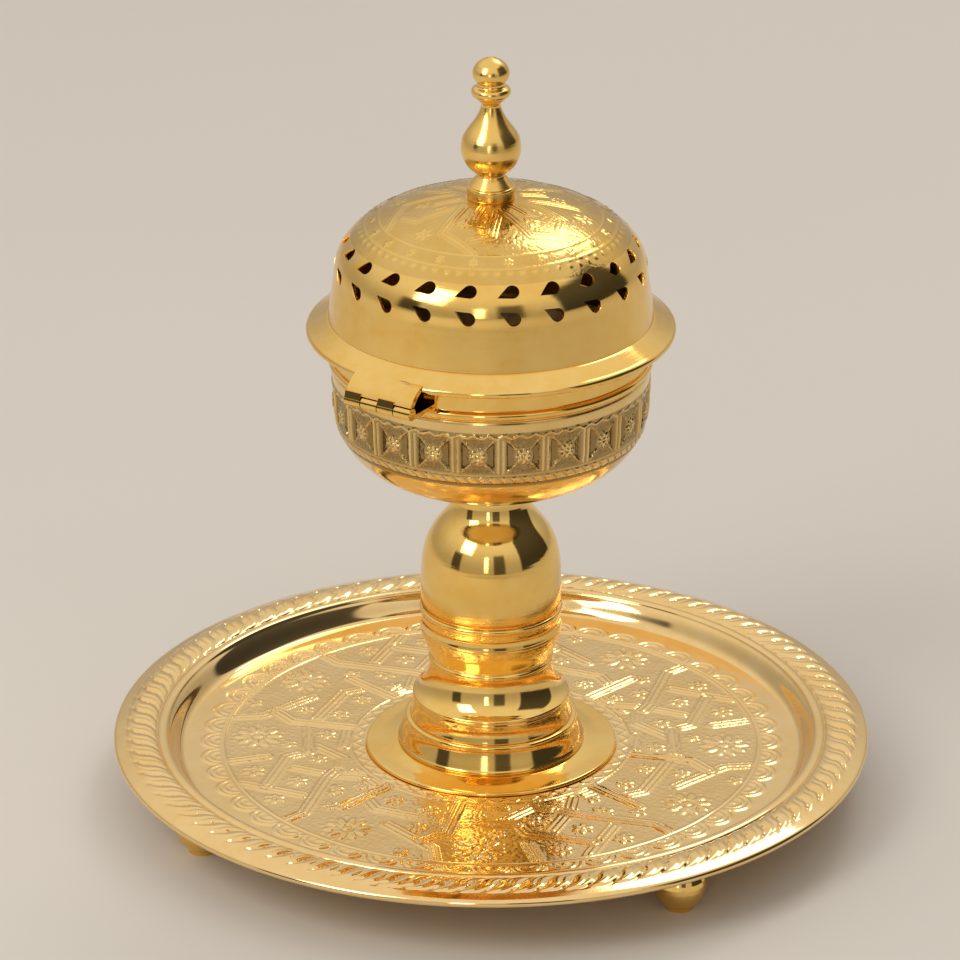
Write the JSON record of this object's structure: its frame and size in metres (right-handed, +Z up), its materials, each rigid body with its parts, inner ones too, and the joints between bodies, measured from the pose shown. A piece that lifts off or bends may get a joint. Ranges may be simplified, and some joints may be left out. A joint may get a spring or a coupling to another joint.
{
  "type": "table incense burner",
  "caption": "Brass table incense burner: engraved bowl with a hinged, pierced and domed lid, on a turned pedestal fixed to a round engraved tray with bun feet.",
  "frame": {"origin": "on the pedestal's axis, on the surface that the four feet stand on", "axes": "+Z up along the pedestal's axis, -Y towards the hinge of the lid"},
  "size_m": [0.2499, 0.25, 0.2549],
  "materials": {
    "polished_brass": "polished turned brass",
    "engraved_brass": "polished brass with traditional engraved pattern",
    "plain_brass": "plain spun brass, dulled by heat",
    "plated_steel": "zinc plated"
  },
  "bodies": {
    "base": {"tray": "engraved_brass", "foot_right": "polished_brass", "foot_back": "polished_brass", "foot_left": "polished_brass", "foot_front": "polished_brass", "pedestal_foot": "polished_brass", "base_ring": "polished_brass", "lower_bell": "polished_brass", "waist_barrel": "polished_brass", "stem_collar": "polished_brass", "stem_bulb": "polished_brass", "tie_rod": "plated_steel", "tray_washer": "plated_steel", "tray_nut": "plated_steel", "bowl_washer": "plated_steel", "bowl_nut": "plated_steel", "bowl": "engraved_brass", "bowl_collar": "polished_brass", "coal_pan": "plain_brass", "bowl_hinge_leaf": "polished_brass", "hinge_pin": "polished_brass"},
    "lid": {"lid_flange": "polished_brass", "lid_dome": "engraved_brass", "lid_hinge_leaf": "polished_brass", "finial": "polished_brass", "finial_ferrule": "polished_brass", "finial_stud": "plated_steel", "finial_washer": "plated_steel", "finial_nut": "plated_steel"}
  },
  "joints": [
    {"name": "lid_hinge", "type": "hinge", "parent": "base", "child": "lid", "pos_m": [0, -0.0634, 0.1581], "axis": [1, 0, 0], "range_deg": [0, 105]}
  ]
}
